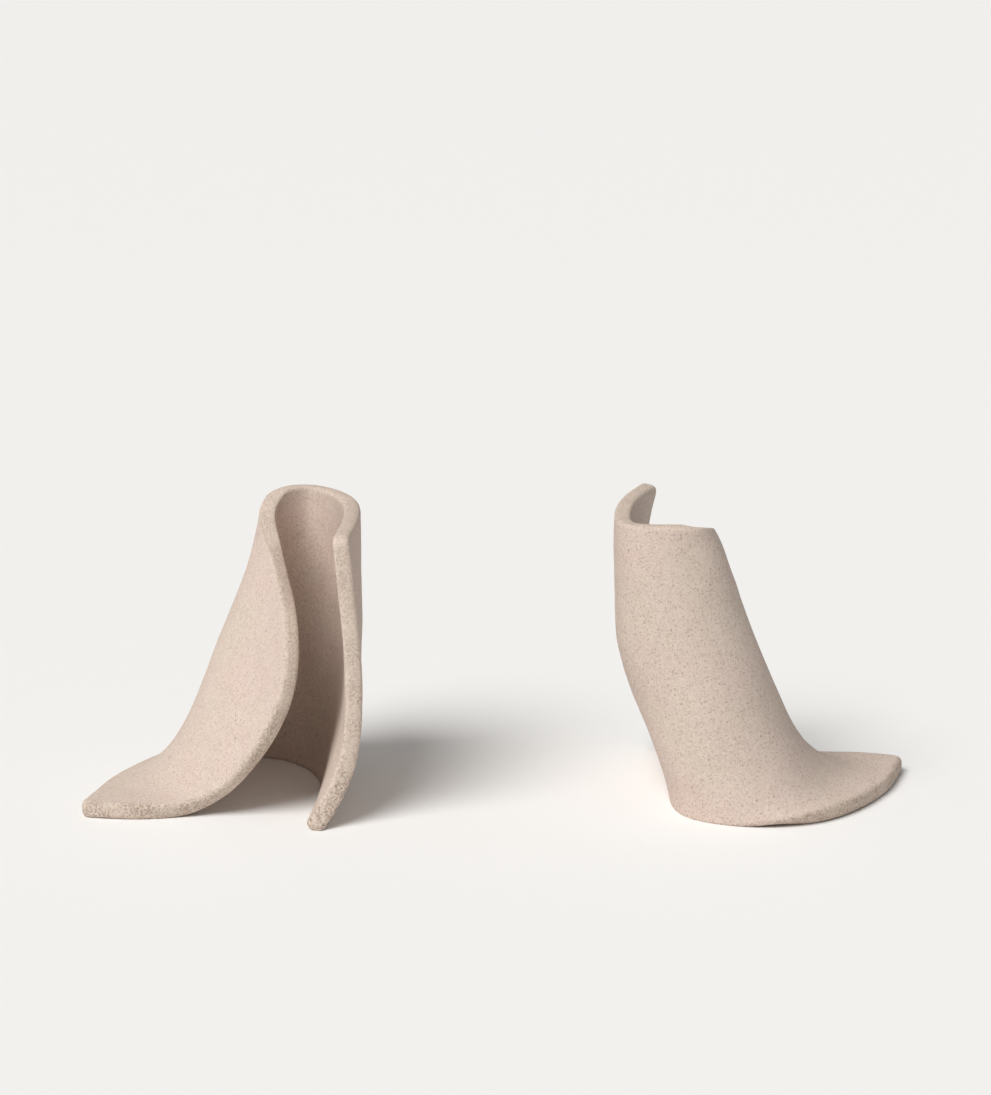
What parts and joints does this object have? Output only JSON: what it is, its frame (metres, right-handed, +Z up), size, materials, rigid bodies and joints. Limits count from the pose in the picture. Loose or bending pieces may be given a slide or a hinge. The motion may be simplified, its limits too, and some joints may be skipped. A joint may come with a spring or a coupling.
{
  "type": "book end pair",
  "caption": "Pair of leaning folded-slab stoneware book ends, each with an upright side for the books, an open fold and a flat tongue that runs out along the shelf.",
  "frame": {"origin": "on the shelf, in the middle of the pair's footprint", "axes": "+Z up, +X along the row of books from the left book end to the right one, -Y towards the side from which the spines are read"},
  "size_m": [0.4284, 0.1406, 0.1527],
  "materials": {
    "stoneware": "matte"
  },
  "bodies": {
    "left": {"left_book_end": "stoneware"},
    "right": {"right_book_end": "stoneware"}
  },
  "joints": [
    {"name": "book_gap", "type": "slide", "parent": "left", "child": "right", "axis": [1, 0, 0], "range_m": [-0.12, 0.25]}
  ]
}
